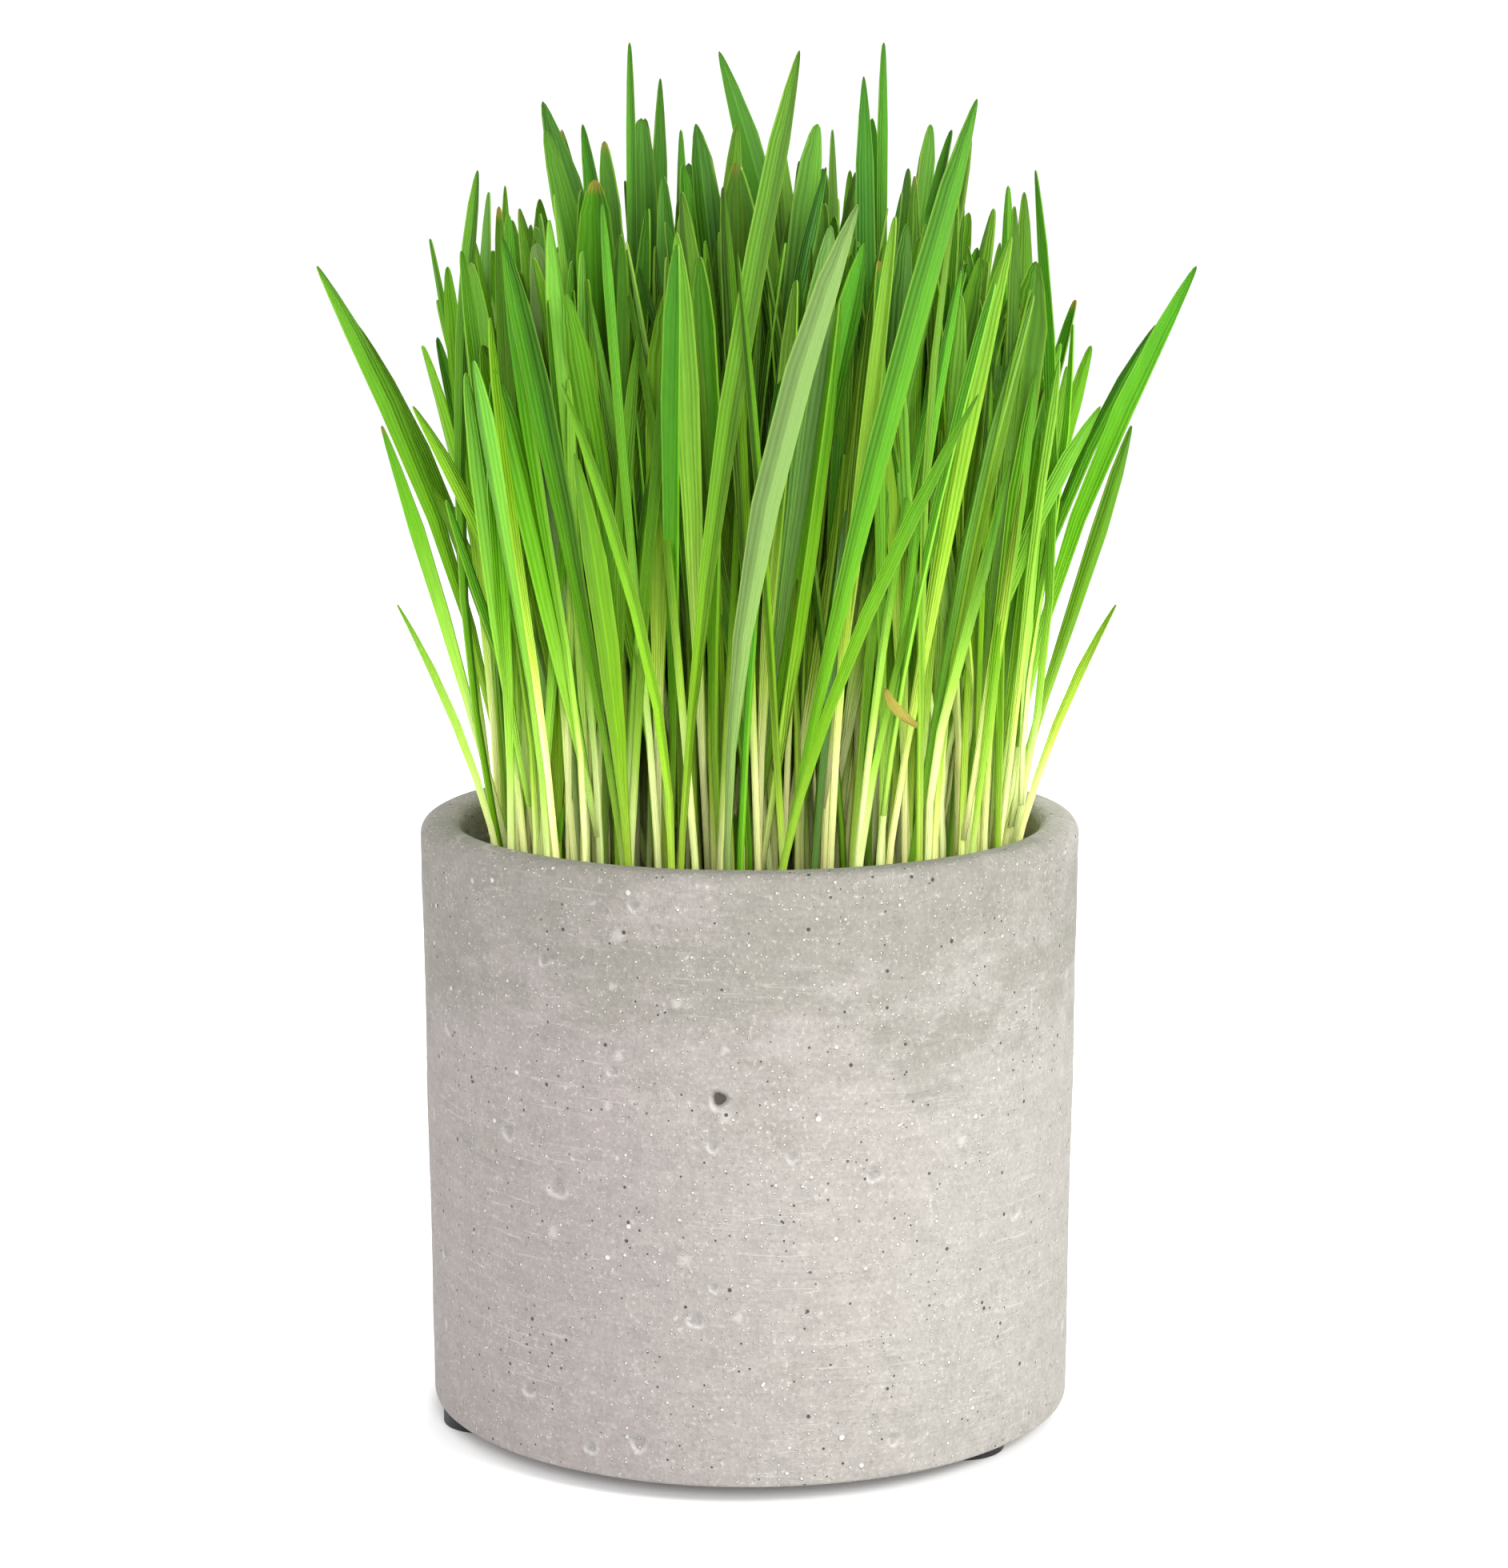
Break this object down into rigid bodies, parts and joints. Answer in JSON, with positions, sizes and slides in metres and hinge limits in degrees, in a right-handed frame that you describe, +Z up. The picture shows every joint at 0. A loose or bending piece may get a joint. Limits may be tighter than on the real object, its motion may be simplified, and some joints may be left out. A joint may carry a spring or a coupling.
{
  "type": "potted wheatgrass",
  "caption": "Dense upright wheatgrass growing from soil in a plain, slightly tapered concrete pot on round rubber feet.",
  "frame": {"origin": "on the pot's axis, at the underside of the rubber feet", "axes": "+Z up along the pot's axis, front of the picture towards -Y, +X to the picture's right"},
  "size_m": [0.157, 0.124, 0.249],
  "materials": {
    "concrete": "matt cast concrete with pinholes",
    "rubber": "matt black",
    "soil": "moist and crumbly",
    "grass": "smooth satin leaves"
  },
  "bodies": {
    "root": {"pot": "concrete", "foot_right": "rubber", "foot_back": "rubber", "foot_left": "rubber", "soil": "soil", "wheatgrass": "grass"}
  },
  "joints": []
}
